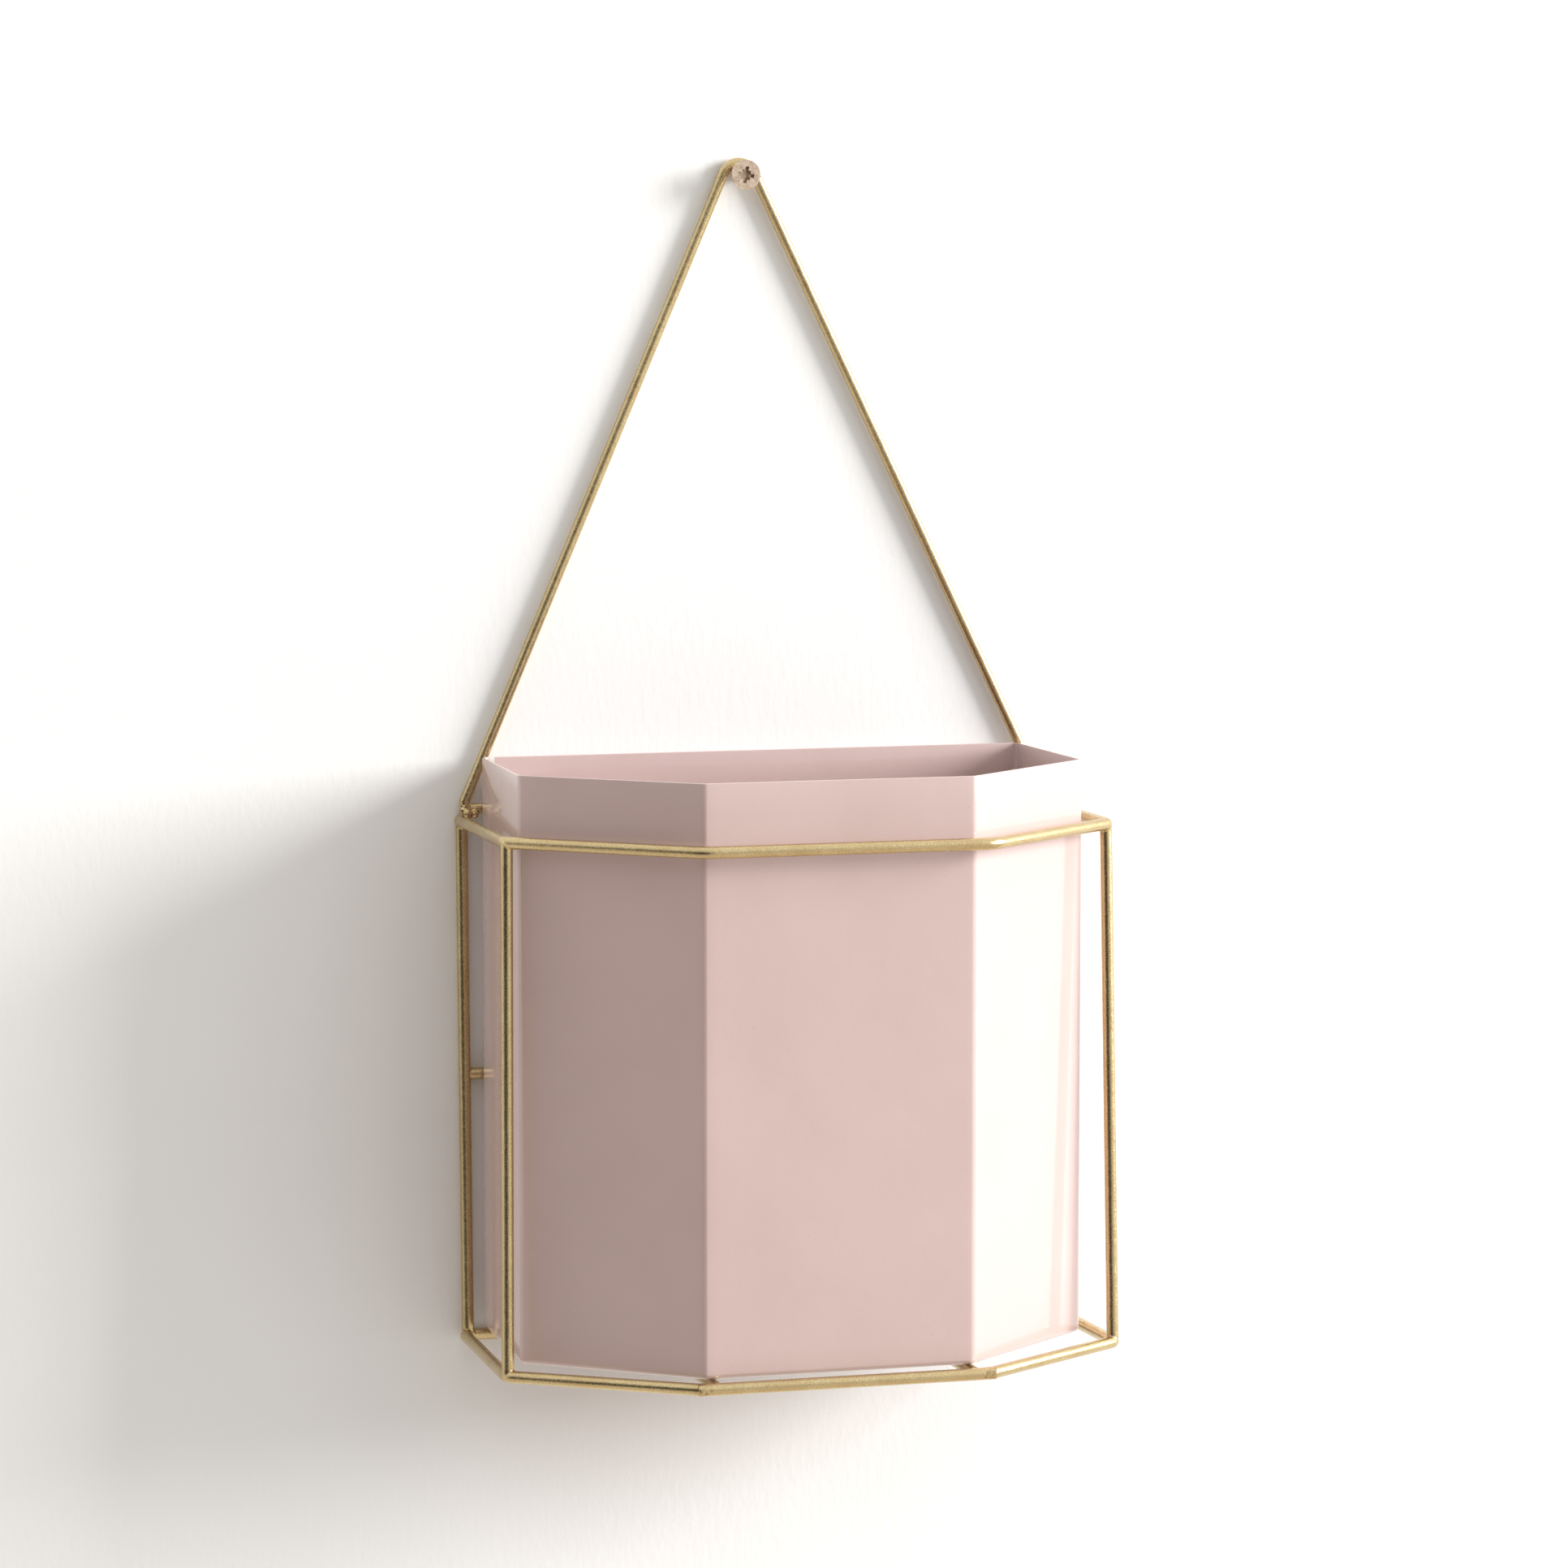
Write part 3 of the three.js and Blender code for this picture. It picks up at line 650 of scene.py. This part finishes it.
def pot_blank(inset=0.0, low=pot_low.z, high=pot_high.z):
    """A block the size of the pot, its sides and front corners cut away by planes."""
    y_back, y_front = pot_high.y - inset, pot_low.y + inset
    bpy.ops.mesh.primitive_cube_add(size=1)
    block = bpy.context.object
    block.scale = (2 * side_half, y_back - y_front, high - low)
    block.location = (pot_x, (y_back + y_front) / 2, (high + low) / 2)
    edit(block)
    plan = [(back_half, pot_high.y), (side_half, pot_side_y), (front_half, pot_low.y)]
    for (x1, y1), (x2, y2) in zip(plan, plan[1:]):
        for side in (-1, 1):
            along = Vector((side * (x2 - x1), y2 - y1, 0)).normalized()
            out = Vector((-along.y, along.x, 0)) * side
            bpy.ops.mesh.select_all(action="SELECT")
            bpy.ops.mesh.bisect(
                plane_co=Vector((pot_x + side * x1, y1, 0)) - out * inset, plane_no=out,
                use_fill=True, clear_outer=True,
            )
    bpy.ops.mesh.select_all(action="SELECT")
    bpy.ops.mesh.normals_make_consistent(inside=False)
    return block


def is_upright(edge):
    """True for an edge that runs straight up."""
    one, other = (v.co for v in edge.verts)
    return abs(one.z - other.z) > 0.99 * (one - other).length > 1 * mm


def fold_edges(block, radius):
    """Rounds the upright edges of a block to this radius."""
    turns = {}
    mesh = bmesh.from_edit_mesh(block.data)
    for edge in mesh.edges:
        if is_upright(edge):
            turn = edge.link_faces[0].normal.angle(edge.link_faces[1].normal)
            turns.setdefault(round(turn, 3), []).append(middle(edge))
    for turn, places in turns.items():
        pick(block, "edges", lambda e: is_upright(e) and any((middle(e) - p).length < mm for p in places))
        bpy.ops.mesh.bevel(
            offset_type="OFFSET", offset=radius * math.tan(turn / 2), segments=8, affect="EDGES"
        )


def cut_grid(block, spacing, low, high):
    """Cuts loops across the faces, so that the sheet can bow a little."""
    for k in range(1, int((high - low) / spacing)):
        bpy.ops.mesh.select_all(action="SELECT")
        bpy.ops.mesh.bisect(plane_co=(0, 0, low + k * spacing), plane_no=(0, 0, 1))
    for k in range(1, int(2 * side_half / spacing)):
        bpy.ops.mesh.select_all(action="SELECT")
        bpy.ops.mesh.bisect(plane_co=(pot_x - side_half + k * spacing, 0, 0), plane_no=(1, 0, 0))
    for y in (pot_side_y / 3, pot_side_y * 2 / 3):
        bpy.ops.mesh.select_all(action="SELECT")
        bpy.ops.mesh.bisect(plane_co=(0, y, 0), plane_no=(0, 1, 0))


pot = pot_blank()
fold_edges(pot, fold)
pick(pot, "faces", lambda f: middle(f).z > pot_high.z - 0.01 * mm)
bpy.ops.mesh.delete(type="FACE")
pick(pot, "edges", lambda e: middle(e).z < pot_low.z + 0.01 * mm)
bpy.ops.mesh.bevel(offset_type="OFFSET", offset=heel, segments=6, affect="EDGES")
cut_grid(pot, grid, pot_low.z + heel, pot_high.z)
bpy.ops.mesh.select_all(action="SELECT")
bpy.ops.mesh.normals_make_consistent(inside=False)
buckle = bpy.data.textures.new("buckle", "CLOUDS")
buckle.noise_scale = bow_span
apply_modifier(pot, "DISPLACE", texture=buckle, strength=bow_depth, mid_level=0.5)
apply_modifier(pot, "SOLIDIFY", thickness=sheet, offset=-1)
opening = pot_blank(turned_in, pot_low.z - mm, pot_low.z + sheet + mm)
only(opening)
cut(pot, opening)
bpy.ops.mesh.primitive_cube_add(size=1)
slit = bpy.context.object
slit.scale = (2 * seam_half, turned_in + mm, pot_high.z - pot_low.z + 2 * mm)
slit.location = (seam_x, pot_high.y - turned_in / 2 + mm / 2, (pot_high.z + pot_low.z) / 2)
edit(slit)
only(slit)
cut(pot, slit)
edit(pot)
pick(pot, "edges", lambda e: middle(e).z > pot_high.z - 0.05 * mm and e.calc_face_angle(0) > 1)
bpy.ops.mesh.bevel(offset_type="OFFSET", offset=rim_round, segments=3, affect="EDGES")
outward(pot)
pot_pink = pink_paint("pot_pink")
fit(pot, "pot_shell", "pot", "pink_paint", pot_pink, "pot_wall")

# ------------------------------------------------------------------ seam weld
# The two edges of the sheet are welded from outside. The bead's ripples show under the
# paint, and it ends in a notch below the rim.


def ripple_bead(low, high, pitch):
    """A bead of weld ripples: one ripple pulled from a ring, then repeated up the seam."""
    y = pot_high.y - sheet / 2
    bpy.ops.mesh.primitive_circle_add(vertices=14, radius=seam_half, location=(seam_x, y, low))
    bead = bpy.context.object
    bead.scale = (1, 0.62, 1)
    edit(bead)
    pull((0, 0, pitch * 0.55), (1.1, 1.16, 1), (seam_x, y, low + pitch * 0.55))
    pull((0, 0, pitch * 0.45), (1 / 1.1, 1 / 1.16, 1), (seam_x, y, low + pitch))
    apply_modifier(
        bead, "ARRAY", count=int((high - low) / pitch), use_relative_offset=False,
        use_constant_offset=True, constant_offset_displace=(0, 0, pitch), use_merge_vertices=True,
        merge_threshold=0.01 * mm,
    )
    edit(bead)
    pick(bead, "edges", lambda e: e.is_boundary)
    bpy.ops.mesh.edge_face_add()
    return bead


seam = ripple_bead(pot_low.z + heel, pot_high.z - seam_notch, 1.1 * mm)
outward(seam)
fit(seam, "seam_bead", "pot", "pink_paint", pot_pink, "pot_seam_weld")

# ------------------------------------------------------------------ base plate
# A flat plate of the same sheet, dropped in on the flange and painted with the pot.

plate_low, plate_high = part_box("pot_base")
plate = pot_blank(pot_high.y - plate_high.y, plate_low.z, plate_high.z)
plate_fold, plate_edge = 1.1 * mm, 0.12 * mm
fold_edges(plate, plate_fold)
outward(plate)
apply_modifier(
    plate, "BEVEL", width=plate_edge, segments=2, limit_method="ANGLE", angle_limit=math.radians(60)
)
outward(plate)
fit(plate, "base_plate", "pot", "pink_paint", pot_pink, "pot_base")

# ------------------------------------------------------------------ wall, light and camera
# A white plastered wall that is seen only from its front, a tall soft light far to the
# right, a room that is light above and below and dim behind the camera.


def plaster():
    """White wall paint over brushed plaster, see-through from behind."""
    material, tree, shader = new_material("plaster")
    tone = blend_colours(tree, mottle(tree, 60 * mm), (0.86, 0.86, 0.85), (0.88, 0.88, 0.87))
    tree.links.new(tone, shader.inputs["Base Color"])
    shader.inputs["Roughness"].default_value = 0.9
    strokes = mottle(tree, 2.2 * mm, stretch=(1, 1, 0.45))
    tree.links.new(bump(tree, strokes, 0.03 * mm), shader.inputs["Normal"])
    behind = tree.nodes.new("ShaderNodeNewGeometry")
    clear = tree.nodes.new("ShaderNodeBsdfTransparent")
    either = tree.nodes.new("ShaderNodeMixShader")
    outlet = tree.nodes["Material Output"]
    tree.links.new(behind.outputs["Backfacing"], either.inputs[0])
    tree.links.new(shader.outputs["BSDF"], either.inputs[1])
    tree.links.new(clear.outputs["BSDF"], either.inputs[2])
    tree.links.new(either.outputs["Shader"], outlet.inputs["Surface"])
    return material


bpy.ops.mesh.primitive_plane_add(size=3.0, rotation=(math.radians(90), 0, 0))
wall = bpy.context.object
only(wall)
bpy.ops.object.transform_apply(location=True, rotation=True, scale=True)
wall.name = "wall"
wall.data.materials.append(plaster())
wall.visible_shadow = False

light_from = math.radians(21), math.radians(16)
light_distance = 3.0
azimuth, elevation = light_from
light_way = Vector((
    math.cos(elevation) * math.cos(azimuth),
    -math.cos(elevation) * math.sin(azimuth),
    math.sin(elevation),
))
aim = Vector((0, -0.05, -0.2))
bpy.ops.object.light_add(type="AREA", location=aim + light_way * light_distance)
key = bpy.context.object
key.name = "window"
key.rotation_euler = light_way.to_track_quat("Z", "Y").to_euler()
key.data.shape = "RECTANGLE"
key.data.size, key.data.size_y = 1.4, 1.28
key.data.energy = 150
key.visible_camera = False

world = bpy.data.worlds.new("room")
bpy.context.scene.world = world
world.use_nodes = True
room = world.node_tree
background = room.nodes["Background"]
background.inputs["Strength"].default_value = 1.12
direction = room.nodes.new("ShaderNodeTexCoord")


def light_along(axis, tones, squeeze=1.0):
    """The room's light: tones from behind this axis to along it, squeezed in height."""
    along = room.nodes.new("ShaderNodeVectorMath")
    along.operation = "DOT_PRODUCT"
    along.inputs[1].default_value = Vector(axis).normalized()
    squeezed = room.nodes.new("ShaderNodeVectorMath")
    squeezed.operation = "MULTIPLY"
    squeezed.inputs[1].default_value = (1, 1, squeeze)
    unit = room.nodes.new("ShaderNodeVectorMath")
    unit.operation = "NORMALIZE"
    share = room.nodes.new("ShaderNodeMapRange")
    share.inputs["From Min"].default_value = -1
    ramp = room.nodes.new("ShaderNodeValToRGB")
    room.links.new(direction.outputs["Generated"], squeezed.inputs[0])
    room.links.new(squeezed.outputs["Vector"], unit.inputs[0])
    room.links.new(unit.outputs["Vector"], along.inputs[0])
    room.links.new(along.outputs["Value"], share.inputs["Value"])
    room.links.new(share.outputs["Result"], ramp.inputs["Fac"])
    while len(ramp.color_ramp.elements) < len(tones):
        ramp.color_ramp.elements.new(0.5)
    for element, (place, tone) in zip(ramp.color_ramp.elements, tones):
        element.position = (place + 1) / 2
        element.color = (*tone, 1)
    return ramp.outputs["Color"]


def grey(tone):
    """A neutral colour of this lightness."""
    return (tone, tone, tone)


dim_side = light_along(
    (-0.6, -0.8, 0),
    [
        (-1, grey(1)), (0, grey(1)), (0.5, grey(0.9)), (0.75, grey(0.55)), (0.88, grey(0.15)),
        (0.95, grey(0.02)),
    ],
    squeeze=1.8,
)
floor_to_ceiling = light_along(
    (0, 0, 1),
    [(-1, (0.8, 0.7, 0.6)), (-0.3, (0.85, 0.8, 0.74)), (0.0, grey(0.95)), (0.4, grey(1)), (1, grey(1))],
)
both = room.nodes.new("ShaderNodeMix")
both.data_type = "RGBA"
both.blend_type = "MULTIPLY"
both.inputs["Factor"].default_value = 1.0
both_in = [s for s in both.inputs if s.type == "RGBA"]
room.links.new(dim_side, both_in[0])
room.links.new(floor_to_ceiling, both_in[1])
seen = room.nodes.new("ShaderNodeLightPath")
choose = room.nodes.new("ShaderNodeMix")
choose.data_type = "RGBA"
colour_in = [s for s in choose.inputs if s.type == "RGBA"]
room.links.new(seen.outputs["Is Camera Ray"], choose.inputs["Factor"])
room.links.new([s for s in both.outputs if s.type == "RGBA"][0], colour_in[0])
colour_in[1].default_value = (0.86, 0.86, 0.85, 1)
room.links.new([s for s in choose.outputs if s.type == "RGBA"][0], background.inputs["Color"])

view_azimuth, view_elevation = math.radians(16), math.radians(5.8845)
view_distance = 1.69069
view_target = Vector((13.612 * mm, -2 * mm, -177.091 * mm))
view_way = Vector((
    math.sin(view_azimuth) * math.cos(view_elevation),
    math.cos(view_azimuth) * math.cos(view_elevation),
    -math.sin(view_elevation),
))
bpy.ops.object.camera_add(
    location=view_target - view_way * view_distance, rotation=view_way.to_track_quat("-Z", "Y").to_euler()
)
camera = bpy.context.object
camera.data.sensor_width = 36
camera.data.lens = 132.784
bpy.context.scene.camera = camera
bpy.context.scene.view_settings.view_transform = "Standard"
